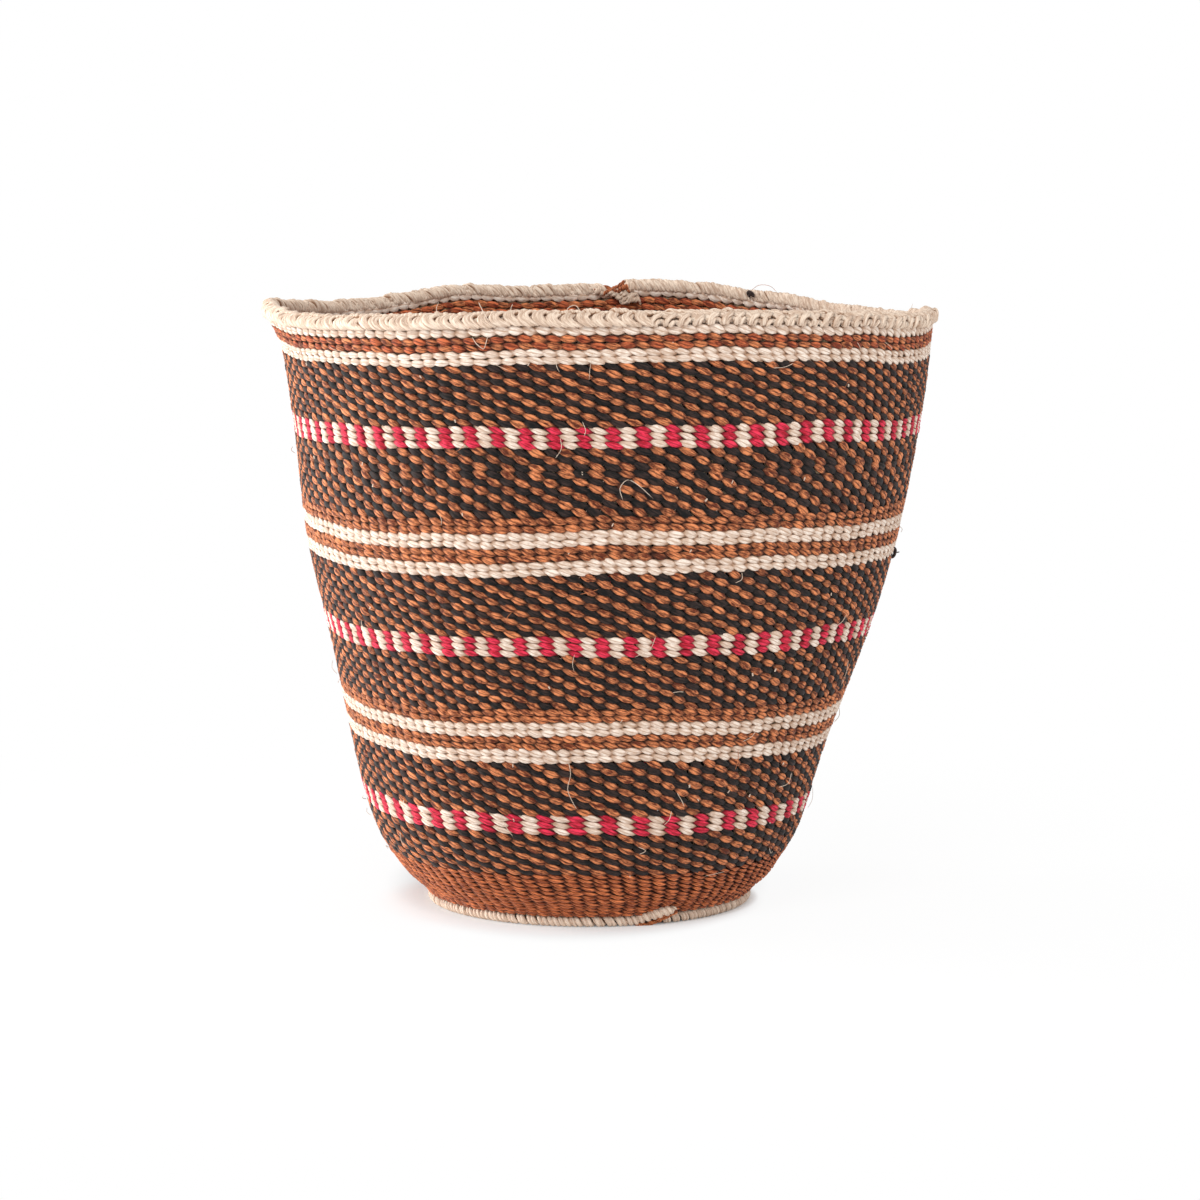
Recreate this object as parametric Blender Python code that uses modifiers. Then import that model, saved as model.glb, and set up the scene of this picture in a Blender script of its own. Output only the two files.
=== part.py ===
"""A kiondo: a tall round basket twined from two-ply sisal yarn on upright warps.

The warps start in the twined base, turn up at the foot and end in the rolled braid of the rim.
Each stripe of the wall is its own pair of weft yarns, so each stripe is its own ring. A ring has
an outer and an inner face, joined where the two yarns cross between the warps, and the warps stand
in the channels between the crossings. A twisted cord under the corner is what the basket stands on.

Everything is first built truly round, and then each point moves to where it lies in the basket as
it was made by hand: leaning a little, with tilted stripes and a rim that is higher at the back.
Metres, +Z up, the front towards -Y.
"""
import math

import bmesh
import bpy
from mathutils import Matrix, Vector

# The basket as a whole, measured on its outer face
FOOT_RADIUS = 0.0640
MOUTH_RADIUS = 0.1238
WALL_HEIGHT = 0.2160
CORNER_RISE = 0.0022
CORNER_WIDTH = 0.0028
# How the outer face swells from the foot to the mouth: shares of the height, then of the radius gained
SIDE_SHARES = ((0.0, 0.0), (0.02, 0.085), (0.042, 0.145), (0.096, 0.265), (0.15, 0.337),
               (0.28, 0.463), (0.5, 0.693), (0.6, 0.788), (0.65, 0.822), (0.82, 0.915), (1.0, 1.0))

# The woven fabric
FABRIC = 0.0046
WARP = 0.0014
CLEARANCE = 0.0003
CHANNEL_EDGE = 0.0002
WARP_START = 0.0160
WARP_GROUPS = 16
SIDES = 2 * WARP_GROUPS

# The wefts from the foot up: name, finish and number of rows
BANDS = (
    ("foot_brown_weft", "brown", 8),
    ("lower_tweed_weft_a", "tweed", 7),
    ("lower_pink_check_weft", "pink_check", 3),
    ("lower_tweed_weft_b", "tweed", 8),
    ("lower_cream_stripe_weft_a", "cream", 2),
    ("lower_brown_stripe_weft_a", "brown", 2),
    ("lower_cream_stripe_weft_b", "cream", 2),
    ("lower_brown_stripe_weft_b", "brown", 2),
    ("middle_tweed_weft_a", "tweed", 8),
    ("middle_pink_check_weft", "pink_check", 3),
    ("middle_tweed_weft_b", "tweed", 9),
    ("upper_cream_stripe_weft_a", "cream", 2),
    ("upper_brown_stripe_weft_a", "brown", 2),
    ("upper_cream_stripe_weft_b", "cream", 2),
    ("upper_brown_stripe_weft_b", "brown", 2),
    ("upper_tweed_weft_a", "tweed", 9),
    ("upper_pink_check_weft", "pink_check", 3),
    ("upper_tweed_weft_b", "tweed", 9),
    ("mouth_cream_weft_a", "cream", 2),
    ("mouth_rust_weft", "rust", 2),
    ("mouth_cream_weft_b", "cream", 1),
)
# A stripe that bulges further than this gets a station halfway up
CURVE_STEP = 0.0003

# The rolled braid of the rim, and the knot where its ends meet at the back
BRAID_WIDTH = 0.0070
BRAID_HEIGHT = 0.0064
BRAID_SEAT = 0.0008
BRAID_INSET = 0.0006
BRAID_SIDES = 10
WARP_TUCK = 0.0024
RIM_KNOT_LENGTH = 0.0120
RIM_KNOT_SWELL = 0.0009
RIM_KNOT_DEGREES = 88.0

# The twisted cord under the foot, and the splice where its ends meet
CORD_DIAMETER = 0.0042
CORD_INSET = 0.0045
CORD_FLAT = 0.0004
CORD_SIDES = 10
SPLICE_LENGTH = 0.0080
SPLICE_SWELL = 0.0002
SPLICE_DEGREES = -60.0

# What the hand did to the round shape. Each pair holds a share of the wall's height and a share of
# the size it follows
LEAN = 0.0049
LEAN_SHARES = ((0.0, -0.78), (0.06, -1.02), (0.14, -1.04), (0.22, -1.0), (0.32, -0.64),
               (0.45, -0.12), (0.6, 0.16), (0.8, 0.56), (0.92, 0.56), (1.0, 0.40))
DEPTH_LOSS = 0.0018
STRIPE_TILT = 0.0032
TILT_SHARES = ((0.0, 0.0), (0.17, 1.0), (0.48, 0.6), (0.8, 0.25), (1.0, 0.2))
SAG = 0.0033
SAG_SHARES = ((0.0, 0.0), (0.15, 1.0), (1.0, 1.0))
SAG_DEGREES = -136.0
SAG_REACH = 56.0
GATHER = 0.0019
GATHER_START_SHARE = 0.65
CURL = 0.0036
CURL_START_SHARE = 0.94
CURL_REACH = 40.0
# How high the rim stands all round: directions in degrees, then shares of the rise
RIM_RISE = 0.0055
RIM_SHARES = ((-205, -0.29), (-180, 0.0), (-160, -0.38), (-138, -0.45), (-118, -0.24), (-95, -0.07),
              (-60, -0.02), (-45, -0.18), (-25, -0.58), (0, -0.34), (20, -0.85), (38, -0.55),
              (50, -0.02), (62, 0.35), (78, 0.95), (96, 0.50), (108, 0.58), (120, 0.73),
              (131, 0.18), (155, -0.29), (180, 0.0), (200, -0.38))

# Where every cutter runs past what it cuts
OVERRUN = 0.0050

ROUGHNESS = 0.85
SMOOTH_DEGREES = 40

cord_radius = FOOT_RADIUS - CORD_INSET
cord_height = CORD_DIAMETER - CORD_FLAT
base_bottom = cord_height + CLEARANCE
base_top = base_bottom + FABRIC
wall_bottom = base_bottom + CORNER_RISE
wall_top = wall_bottom + WALL_HEIGHT
skin = (FABRIC - WARP) / 2 - CLEARANCE
half_side = math.pi / SIDES


def paint(red, green, blue):
    """A colour as it is picked on a screen, as the linear values of a shader."""
    return [((level / 255 + 0.055) / 1.055) ** 2.4 for level in (red, green, blue)]


FINISHES = {
    "brown": paint(160, 92, 50),
    "tweed": paint(84, 58, 44),
    "pink_check": paint(222, 132, 140),
    "cream": paint(234, 219, 198),
    "rust": paint(170, 98, 58),
    "warp": paint(205, 184, 150),
}


def through(pairs, share):
    """A smooth curve through (share, value) pairs, read at a share."""
    last = len(pairs) - 1
    share = min(max(share, pairs[0][0]), pairs[last][0])
    place = next(index for index in range(last) if share <= pairs[index + 1][0])

    def slope(index):
        before, after = max(index - 1, 0), min(index + 1, last)
        return (pairs[after][1] - pairs[before][1]) / (pairs[after][0] - pairs[before][0])

    (start, low), (end, high) = pairs[place], pairs[place + 1]
    span = end - start
    way = (share - start) / span
    flat, steep = slope(place) * span, slope(place + 1) * span
    return (low * (2 * way ** 3 - 3 * way ** 2 + 1) + flat * (way ** 3 - 2 * way ** 2 + way)
            + high * (3 * way ** 2 - 2 * way ** 3) + steep * (way ** 3 - way ** 2))


# The outer face of the wall

def wall_point(share):
    """The outer face at a share of the wall's height, as radius and height."""
    gained = (MOUTH_RADIUS - FOOT_RADIUS) * through(SIDE_SHARES, share)
    return Vector((FOOT_RADIUS + gained, wall_bottom + WALL_HEIGHT * share))


TRACE_STEPS = 400
trace = [wall_point(step / TRACE_STEPS) for step in range(TRACE_STEPS + 1)]
lengths = [0.0]
for lower, upper in zip(trace, trace[1:]):
    lengths.append(lengths[-1] + (upper - lower).length)
wall_length = lengths[-1]
row_pitch = wall_length / sum(rows for _, _, rows in BANDS)


def wall_at(length, depth):
    """A point of the wall: a length up its outer face from the corner, and a depth in from there."""
    step = next((index for index in range(TRACE_STEPS) if length <= lengths[index + 1]), TRACE_STEPS - 1)
    way = (length - lengths[step]) / (lengths[step + 1] - lengths[step])
    along = (trace[step + 1] - trace[step]).normalized()
    inward = Vector((-along.y, along.x))
    return trace[step].lerp(trace[step + 1], way) + inward * depth


def corner_at(depth):
    """The corner between base and wall, at a depth in from the outer face."""
    half_turn = math.atan2(CORNER_RISE, CORNER_WIDTH) / 2
    return Vector((FOOT_RADIUS - CORNER_WIDTH - depth * math.tan(half_turn), base_bottom + depth))


def rim_at(depth, rise):
    """A point above the wall's last row: a depth in from the outer face, and a rise above the row."""
    return wall_at(wall_length + rise, depth)


# Making pieces

def new_collection(name):
    collection = bpy.data.collections.new(name)
    bpy.context.scene.collection.children.link(collection)
    return collection


def new_material(name):
    material = bpy.data.materials.new(name + "_sisal")
    material.use_nodes = True
    shader = material.node_tree.nodes["Principled BSDF"]
    shader.inputs["Base Color"].default_value = (*FINISHES[name], 1)
    shader.inputs["Roughness"].default_value = ROUGHNESS
    shader.inputs["Metallic"].default_value = 0
    material.diffuse_color = (*FINISHES[name], 1)
    return material


def new_object(name, mesh, collection):
    piece = bpy.data.objects.new(name, mesh)
    collection.objects.link(piece)
    return piece


def turned(name, outline, closed=True):
    """A ring or a disc: an outline of radius and height, turned about the basket's axis."""
    mesh = bpy.data.meshes.new(name)
    turn = Matrix.Rotation(-half_side, 3, "Z")
    places = [turn @ Vector((radius, 0, height)) for radius, height in outline]
    edges = [(index, index + 1) for index in range(len(outline) - 1)]
    if closed:
        edges.append((len(outline) - 1, 0))
    mesh.from_pydata(places, edges, [])
    piece = new_object(name, mesh, basket)
    screw = piece.modifiers.new("Turned", "SCREW")
    screw.steps = SIDES
    screw.render_steps = SIDES
    screw.use_merge_vertices = True
    screw.merge_threshold = CLEARANCE / 100
    return piece


def stave_section(outer, inner, edge):
    """The four corners of a stave between two points of radius and height, as wide as one side of the
    ring less an edge each way."""
    corners = []
    for (radius, height), sides in ((outer, (-1, 1)), (inner, (1, -1))):
        width = radius * math.sin(half_side) - edge
        corners += [Vector((radius * math.cos(half_side), side * width, height)) for side in sides]
    return corners


def stave(outer_path, inner_path, edge, turn):
    """A flat stave between two runs of points, drawn out section by section and turned about the
    basket's axis. It comes back as a bmesh."""
    shape = bmesh.new()
    section = stave_section(outer_path[0], inner_path[0], edge)
    start = shape.faces.new([shape.verts.new(corner) for corner in section])
    end = start
    for outer, inner in zip(outer_path[1:], inner_path[1:]):
        passed = end
        grown = bmesh.ops.extrude_face_region(shape, geom=[passed])["geom"]
        end = next(item for item in grown if isinstance(item, bmesh.types.BMFace))
        if passed is not start:
            bmesh.ops.delete(shape, geom=[passed], context="FACES_ONLY")
        target = stave_section(outer, inner, edge)
        for corner in end.verts:
            nearest = min(range(len(section)), key=lambda place: (section[place] - corner.co).length)
            corner.co = target[nearest]
        section = target
    bmesh.ops.recalc_face_normals(shape, faces=shape.faces)
    bmesh.ops.rotate(shape, verts=shape.verts, cent=(0, 0, 0), matrix=Matrix.Rotation(turn, 3, "Z"))
    return shape


def cut(piece, cutter, operation="DIFFERENCE"):
    boolean = piece.modifiers.new(cutter.name, "BOOLEAN")
    boolean.operation = operation
    boolean.solver = "EXACT"
    boolean.object = cutter


def hide_cutter(cutter):
    cutter.hide_render = True
    cutter.display_type = "WIRE"
    return cutter


def block(name, length, radius, degrees):
    """A cutter of a given length along the ring, standing across the ring at an angle."""
    shape = bmesh.new()
    bmesh.ops.create_cube(shape, size=1)
    size = (2 * OVERRUN + BRAID_WIDTH + FABRIC, length, 2 * (wall_top + OVERRUN + BRAID_HEIGHT))
    bmesh.ops.scale(shape, vec=size, verts=shape.verts)
    bmesh.ops.translate(shape, vec=(radius, 0, 0), verts=shape.verts)
    turn = Matrix.Rotation(math.radians(degrees), 3, "Z")
    bmesh.ops.rotate(shape, verts=shape.verts, cent=(0, 0, 0), matrix=turn)
    mesh = bpy.data.meshes.new(name)
    shape.to_mesh(mesh)
    shape.free()
    return hide_cutter(new_object(name, mesh, cutters))


def near(turn, degrees, reach):
    """How near a turn about the basket is to a direction: 1 in it, and 0 from a reach of degrees on."""
    apart = abs((math.degrees(turn) - degrees + 180) % 360 - 180)
    return math.cos(min(apart / reach, 1) * math.pi / 2) ** 2


def past(share, start):
    """How far a share of the wall's height is past a start: 0 up to it, and 1 at the rim."""
    return max(share - start, 0) / (1 - start)


def hand_shape(place):
    """Where a point of the truly round basket lies in the hand-made one."""
    share = min(max((place.z - base_top) / (wall_top - base_top), 0), 1)
    turn = math.atan2(place.y, place.x)
    across, back = math.cos(turn), math.sin(turn)
    curl = CURL * past(share, CURL_START_SHARE) ** 2 * near(turn, 180, CURL_REACH)
    wall_lift = -STRIPE_TILT * through(TILT_SHARES, share) * across
    wall_lift -= SAG * through(SAG_SHARES, share) * near(turn, SAG_DEGREES, SAG_REACH)
    rim_lift = RIM_RISE * through(RIM_SHARES, math.degrees(turn))
    lift = wall_lift + (rim_lift - wall_lift) * share ** 3
    lift += GATHER * math.sin(math.pi * past(share, GATHER_START_SHARE)) ** 2
    return Vector((
        place.x + LEAN * through(LEAN_SHARES, share) + curl * across,
        place.y - DEPTH_LOSS * share * back + curl * back,
        place.z + lift,
    ))


def finish(piece, name):
    """Applies a piece's cuts, gives it its hand-made shape and its material."""
    bpy.context.view_layer.update()
    applied = piece.evaluated_get(bpy.context.evaluated_depsgraph_get())
    mesh = bpy.data.meshes.new_from_object(applied)
    for vertex in mesh.vertices:
        vertex.co = hand_shape(vertex.co)
    mesh.materials.clear()
    mesh.materials.append(materials[name])
    mesh.shade_smooth()
    mesh.set_sharp_from_angle(angle=math.radians(SMOOTH_DEGREES))
    piece.modifiers.clear()
    piece.data = mesh
    return piece


# The pieces of the basket

def warp_path(depth, start, tuck):
    """The run of a warp at one depth in the fabric: out along the base and up the wall to the rim."""
    path = [Vector((start, base_bottom + depth)), corner_at(depth)]
    length = 0.0
    for _, _, rows in BANDS:
        path.append(wall_at(length, depth))
        length += rows * row_pitch
    path.append(wall_at(wall_length, depth))
    path.append(rim_at(depth, tuck))
    return path


def channel_cutter():
    """The channels between the crossings of the wefts, in which the warps lie."""
    outer = warp_path(skin, WARP_START - CLEARANCE, WARP_TUCK + CLEARANCE)
    inner = warp_path(FABRIC - skin, WARP_START - CLEARANCE, WARP_TUCK + CLEARANCE)
    joined = bmesh.new()
    for group in range(WARP_GROUPS):
        shape = stave(outer, inner, CHANNEL_EDGE, (2 * group + 1) * 2 * half_side)
        mesh = bpy.data.meshes.new("one_channel")
        shape.to_mesh(mesh)
        shape.free()
        joined.from_mesh(mesh)
        bpy.data.meshes.remove(mesh)
    mesh = bpy.data.meshes.new("warp_channels")
    joined.to_mesh(mesh)
    joined.free()
    return hide_cutter(new_object("warp_channels", mesh, cutters))


def warps():
    """The warps, in groups that each stand in one channel."""
    outer = warp_path(skin + CLEARANCE, WARP_START, WARP_TUCK)
    inner = warp_path(FABRIC - skin - CLEARANCE, WARP_START, WARP_TUCK)
    for group in range(WARP_GROUPS):
        name = f"warps_{group + 1:02d}"
        shape = stave(outer, inner, CHANNEL_EDGE + CLEARANCE, (2 * group + 1) * 2 * half_side)
        mesh = bpy.data.meshes.new(name)
        shape.to_mesh(mesh)
        shape.free()
        finish(new_object(name, mesh, basket), "warp")


def base():
    """The twined base, with its corner turned up to the first row of the wall."""
    edge = -CLEARANCE / 2
    outline = [Vector((0, base_top)), corner_at(FABRIC), wall_at(edge, FABRIC),
               wall_at(edge, 0), corner_at(0), Vector((0, base_bottom))]
    piece = turned("base_disc", outline, closed=False)
    cut(piece, channels)
    finish(piece, "brown")


def weft(name, material, rows, start):
    """One stripe: a pair of weft yarns, outside and inside the warps, for a number of rows."""
    low = start + CLEARANCE / 2
    high = start + rows * row_pitch - CLEARANCE / 2
    middle = (low + high) / 2
    bend = (wall_at(middle, 0) - (wall_at(low, 0) + wall_at(high, 0)) / 2).length
    stations = [low, middle, high] if bend > CURVE_STEP else [low, high]
    outer = [wall_at(length, 0) for length in reversed(stations)]
    inner = [wall_at(length, FABRIC) for length in stations]
    piece = turned(name, outer + inner)
    cut(piece, channels)
    finish(piece, material)


def braid_outline(swell):
    """The rim's section: an oval that sits flat on the last row. A swell makes it thicker all round
    but at its seat."""
    outline = []
    for side in range(BRAID_SIDES):
        angle = 2 * math.pi * (side + 0.5) / BRAID_SIDES
        depth = FABRIC / 2 + BRAID_INSET - (BRAID_WIDTH / 2 + swell) * math.sin(angle)
        rise = BRAID_HEIGHT / 2 - BRAID_SEAT + (BRAID_HEIGHT / 2 + swell) * math.cos(angle)
        outline.append(rim_at(depth, max(rise, 0) + CLEARANCE))
    return outline


def rim():
    """The rolled braid that finishes the rim, open at the back, and the knot in its opening."""
    radius = MOUTH_RADIUS - FABRIC / 2 - BRAID_INSET
    gap = block("rim_gap", RIM_KNOT_LENGTH + 2 * CLEARANCE, radius, RIM_KNOT_DEGREES)
    length = block("rim_knot_length", RIM_KNOT_LENGTH, radius, RIM_KNOT_DEGREES)
    braid = turned("rim_braid", braid_outline(0))
    cut(braid, channels)
    cut(braid, gap)
    finish(braid, "cream")
    knot = turned("rim_knot", braid_outline(RIM_KNOT_SWELL))
    cut(knot, length, "INTERSECT")
    cut(knot, channels)
    finish(knot, "brown")


def cord_outline(swell):
    """The foot cord's section: round, and worn flat where it stands."""
    outline = []
    for side in range(CORD_SIDES):
        angle = 2 * math.pi * (side + 0.5) / CORD_SIDES
        radius = cord_radius + (CORD_DIAMETER / 2 + swell) * math.sin(angle)
        height = CORD_DIAMETER / 2 - CORD_FLAT + CORD_DIAMETER / 2 * math.cos(angle)
        outline.append(Vector((radius, max(height, 0))))
    return outline


def foot():
    """The twisted cord that the basket stands on, open at the front, and the splice of its ends."""
    gap = block("foot_gap", SPLICE_LENGTH + 2 * CLEARANCE, cord_radius, SPLICE_DEGREES)
    length = block("foot_splice_length", SPLICE_LENGTH, cord_radius, SPLICE_DEGREES)
    cord = turned("foot_cord", cord_outline(0))
    cut(cord, gap)
    finish(cord, "cream")
    splice = turned("foot_cord_splice", cord_outline(SPLICE_SWELL))
    cut(splice, length, "INTERSECT")
    finish(splice, "brown")


def centre_on_origin():
    """Moves the basket so that its axis point on the floor is the middle of its outer box."""
    places = [vertex.co for piece in basket.objects for vertex in piece.data.vertices]
    middle = Vector((
        (min(place.x for place in places) + max(place.x for place in places)) / 2,
        (min(place.y for place in places) + max(place.y for place in places)) / 2,
        min(place.z for place in places),
    ))
    for piece in basket.objects:
        piece.data.transform(Matrix.Translation(-middle))


for old in list(bpy.data.objects):
    bpy.data.objects.remove(old)

basket = new_collection("kiondo_basket")
cutters = new_collection("cutters")
materials = {name: new_material(name) for name in FINISHES}

channels = channel_cutter()
foot()
base()
warps()
climbed = 0.0
for band_name, band_finish, band_rows in BANDS:
    weft(band_name, band_finish, band_rows, climbed)
    climbed += band_rows * row_pitch
rim()
centre_on_origin()
print(f"wall length {wall_length:.4f} m, row pitch {row_pitch:.5f} m")
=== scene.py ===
import math

import bmesh
import bpy
import numpy as np
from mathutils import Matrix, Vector


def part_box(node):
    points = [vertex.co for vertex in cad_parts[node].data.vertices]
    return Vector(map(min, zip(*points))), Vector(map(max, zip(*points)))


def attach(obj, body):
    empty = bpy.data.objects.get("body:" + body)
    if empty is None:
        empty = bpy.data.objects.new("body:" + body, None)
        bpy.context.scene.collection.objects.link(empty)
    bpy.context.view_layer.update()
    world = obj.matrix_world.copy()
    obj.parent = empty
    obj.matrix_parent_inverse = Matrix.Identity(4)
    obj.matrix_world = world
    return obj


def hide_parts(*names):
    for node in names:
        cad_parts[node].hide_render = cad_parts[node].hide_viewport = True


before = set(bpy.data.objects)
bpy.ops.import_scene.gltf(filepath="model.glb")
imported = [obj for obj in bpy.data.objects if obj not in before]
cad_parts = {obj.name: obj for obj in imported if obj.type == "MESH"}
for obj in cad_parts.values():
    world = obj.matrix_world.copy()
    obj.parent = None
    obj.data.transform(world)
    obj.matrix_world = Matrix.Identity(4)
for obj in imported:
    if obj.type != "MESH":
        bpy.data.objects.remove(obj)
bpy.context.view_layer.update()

# The warps
# Upright cords of undyed sisal that the coloured yarns go round. They start in the base, turn up at the
# foot and end in the rim. More are let in as the wall widens, so that they keep one stitch apart.
FOOT_RADIUS = 0.0640
MOUTH_RADIUS = 0.1238
WALL_HEIGHT = 0.2160
CORNER_RISE = 0.0022
CORNER_WIDTH = 0.0028
SIDE_SHARES = ((0.0, 0.0), (0.02, 0.085), (0.042, 0.145), (0.096, 0.265), (0.15, 0.337),
               (0.28, 0.463), (0.5, 0.693), (0.6, 0.788), (0.65, 0.822), (0.82, 0.915), (1.0, 1.0))
FABRIC = 0.0046
BASE_BOTTOM = 0.0041
LIP_RADIUS = 0.0620
LIP_BOTTOM = 0.0038
LEAN = 0.0049
LEAN_SHARES = ((0.0, -0.78), (0.06, -1.02), (0.14, -1.04), (0.22, -1.0), (0.32, -0.64),
               (0.45, -0.12), (0.6, 0.16), (0.8, 0.56), (0.92, 0.56), (1.0, 0.40))
DEPTH_LOSS = 0.0018
STRIPE_TILT = 0.0032
TILT_SHARES = ((0.0, 0.0), (0.17, 1.0), (0.48, 0.6), (0.8, 0.25), (1.0, 0.2))
SAG = 0.0033
SAG_SHARES = ((0.0, 0.0), (0.15, 1.0), (1.0, 1.0))
SAG_DEGREES = -136.0
SAG_REACH = 56.0
GATHER = 0.0019
GATHER_START_SHARE = 0.65
CURL = 0.0036
CURL_START_SHARE = 0.94
CURL_DEGREES = 180.0
CURL_REACH = 40.0
RIM_RISE = 0.0055
RIM_SHARES = ((-205, -0.29), (-180, 0.0), (-160, -0.38), (-138, -0.45), (-118, -0.24), (-95, -0.07),
              (-60, -0.02), (-45, -0.18), (-25, -0.58), (0, -0.34), (20, -0.85), (38, -0.55),
              (50, -0.02), (62, 0.35), (78, 0.95), (96, 0.50), (108, 0.58), (120, 0.73),
              (131, 0.18), (155, -0.29), (180, 0.0), (200, -0.38))
# Small waves of the rows, which start a little way up: how many go round the basket, how they turn on
# the way up, their phase and their share of the height
WAVE_HEIGHT = 0.00040
WAVE_START = 0.03
WAVES = ((4, 90, 0.0, 1.0), (11, -50, 1.3, 0.6), (23, 70, 2.1, 0.4))
WARP_LEAN = 0.28
STITCH = 0.00506
# How many warps stand at each length up the wall, and how much closer they stand at the left
COLUMNS = ((0.0, 84), (0.030, 90), (0.043, 90), (0.057, 106), (0.075, 116), (0.098, 125), (0.128, 131),
           (0.172, 137), (0.187, 141), (0.203, 145), (0.227, 152))
CROWDING = ((0.0, 0.09), (0.6, 0.09), (0.8, 0.04), (1.0, 0.02))
CROWDED_DEGREES = -165.0
WARP_WIDTH = 0.0049
WARP_DEPTH = 0.0018
WARP_TAPER = 12
WARP_OVERLAP = 0.001
# How deep the warps count for painted shade, which takes them about halfway to their shade colour
WARP_PAINTED_SHADE = -0.0008
# The rings of warps in the base: where each starts, before the corner, and how many warps it has
BASE_WARPS = ((-0.064, 12), (-0.045, 36), (-0.025, 64))
BASE_WARP_LENGTH = 0.022
# The solids have the warps in groups
WARP_GROUPS = 16
# Where a ply by itself lies, clear of the painted shade between two plies, and how its fibres run round it
SINGLE_PLY = 0.004
SINGLE_PLY_GRAIN = 0.001


def through(pairs, share):
    """A smooth curve through (share, value) pairs, read at any number of shares."""
    places, values = np.array(pairs).T
    before = np.maximum(np.arange(len(places)) - 1, 0)
    after = np.minimum(np.arange(len(places)) + 1, len(places) - 1)
    slopes = (values[after] - values[before]) / (places[after] - places[before])
    share = np.clip(share, places[0], places[-1])
    low = np.clip(np.searchsorted(places, share) - 1, 0, len(places) - 2)
    span = places[low + 1] - places[low]
    way = (share - places[low]) / span
    return (values[low] * (2 * way ** 3 - 3 * way ** 2 + 1)
            + slopes[low] * span * (way ** 3 - 2 * way ** 2 + way)
            + values[low + 1] * (3 * way ** 2 - 2 * way ** 3)
            + slopes[low + 1] * span * (way ** 3 - way ** 2))


base_top = BASE_BOTTOM + FABRIC
wall_bottom = BASE_BOTTOM + CORNER_RISE
wall_top = wall_bottom + WALL_HEIGHT

# The outer face from the middle of the base, over the lip on the foot cord, to the rim. Lengths along it
# are counted from the corner up.
climb = np.linspace(0, 1, 401)
side = np.stack([FOOT_RADIUS + (MOUTH_RADIUS - FOOT_RADIUS) * through(SIDE_SHARES, climb),
                 wall_bottom + WALL_HEIGHT * climb], 1)
flat = np.stack([np.linspace(0, FOOT_RADIUS - CORNER_WIDTH, 60), np.full(60, BASE_BOTTOM)], 1)
flat = np.concatenate([flat, [[LIP_RADIUS, LIP_BOTTOM]]])
profile = np.concatenate([flat, side])
run = np.concatenate([[0], np.cumsum(np.linalg.norm(np.diff(profile, axis=0), axis=1))])
run -= run[len(flat)]
heading = np.gradient(profile, run, axis=0)
heading /= np.linalg.norm(heading, axis=1)[:, None]
wall_length = run[-1]

low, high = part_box("foot_cord")
aside = (low + high) / 2 - Vector((LEAN * LEAN_SHARES[0][1], 0, 0))


def radius_at(length):
    """The radius of the outer face at a length along it."""
    return np.interp(length, run, profile[:, 0])


def near(degrees, centre, reach):
    """How near directions are to another: 1 in it, and 0 from a reach of degrees on."""
    apart = np.abs((degrees - centre + 180) % 360 - 180)
    return np.cos(np.minimum(apart / reach, 1) * math.pi / 2) ** 2


def past(share, start):
    """How far a share of the wall's height is past a start: 0 up to it, and 1 at the rim."""
    return np.maximum(share - start, 0) / (1 - start)


def fabric(turn, length, depth):
    """Where a point of the fabric lies: its turn about the basket, its length up the outer face from
    the corner, and its depth in from that face."""
    turn, length, depth = np.broadcast_arrays(turn, length, depth)
    along = [np.interp(length, run, heading[:, axis]) for axis in (0, 1)]
    over = np.maximum(length - wall_length, 0)
    wave = sum(size * np.sin(count * turn + rise * length + phase) for count, rise, phase, size in WAVES)
    over = over + WAVE_HEIGHT * wave * np.clip(length / WAVE_START, 0, 1)
    radius = radius_at(length) + along[0] * over - along[1] * depth
    height = np.interp(length, run, profile[:, 1]) + along[1] * over + along[0] * depth
    share = np.clip((height - base_top) / (wall_top - base_top), 0, 1)
    across, back = np.cos(turn), np.sin(turn)
    degrees = (np.degrees(turn) + 180) % 360 - 180
    curl = CURL * past(share, CURL_START_SHARE) ** 2 * near(degrees, CURL_DEGREES, CURL_REACH)
    wall_lift = -STRIPE_TILT * through(TILT_SHARES, share) * across
    wall_lift = wall_lift - SAG * through(SAG_SHARES, share) * near(degrees, SAG_DEGREES, SAG_REACH)
    rim_lift = RIM_RISE * through(RIM_SHARES, degrees)
    lift = wall_lift + (rim_lift - wall_lift) * share ** 3
    lift = lift + GATHER * np.sin(math.pi * past(share, GATHER_START_SHARE)) ** 2
    return np.stack([
        radius * across + LEAN * through(LEAN_SHARES, share) + curl * across + aside.x,
        radius * back - DEPTH_LOSS * share * back + curl * back + aside.y,
        height + lift,
    ], -1)


def columns_at(length):
    """How many warps stand at a length: an even number, about one stitch apart."""
    if length < 0:
        return 2 * max(round(math.pi * float(radius_at(length)) / STITCH), 4)
    return 2 * round(float(through(COLUMNS, length)) / 2)


def warp_turn(column, columns, length):
    """The turn about the basket at which a warp stands, which leans on its way up the wall."""
    share = np.clip(length, 0, wall_length) / wall_length
    turn = column * 2 * math.pi / columns - WARP_LEAN * share
    return turn - through(CROWDING, share) * np.sin(turn - math.radians(CROWDED_DEGREES))


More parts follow.
